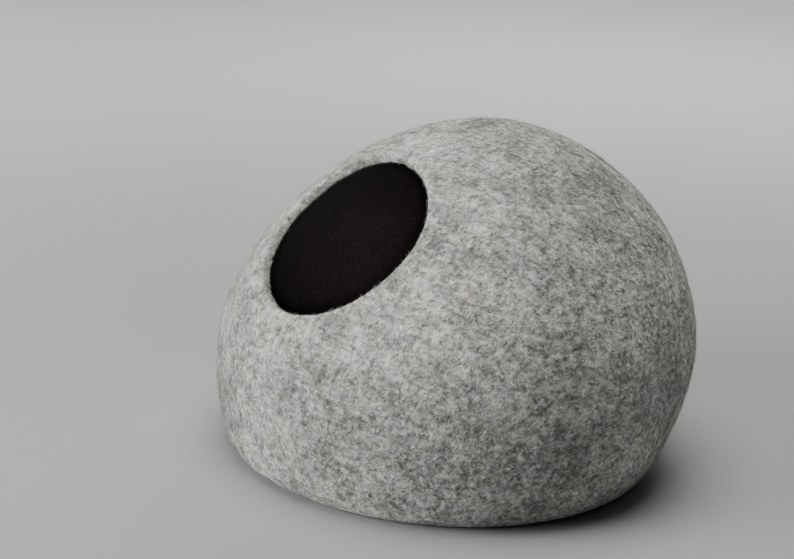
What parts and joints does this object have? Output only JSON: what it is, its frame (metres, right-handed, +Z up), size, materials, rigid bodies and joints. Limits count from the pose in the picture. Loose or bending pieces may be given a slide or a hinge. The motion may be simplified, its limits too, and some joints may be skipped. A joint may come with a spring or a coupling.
{
  "type": "felt cat cave",
  "caption": "Low round cat cave of thick wet-felted wool, grey outside and black inside, with a round mouth high on its front slope and a flat bottom.",
  "frame": {"origin": "on the surface the cave stands on, under the middle of its bounding box", "axes": "+Z up, the mouth faces -Y and up, +X to the right when looking along +Y"},
  "size_m": [0.47, 0.4208, 0.3032],
  "materials": {
    "felt": "matt mottled grey wool felt, black on the inside"
  },
  "bodies": {
    "root": {"felt_shell": "felt"}
  },
  "joints": []
}
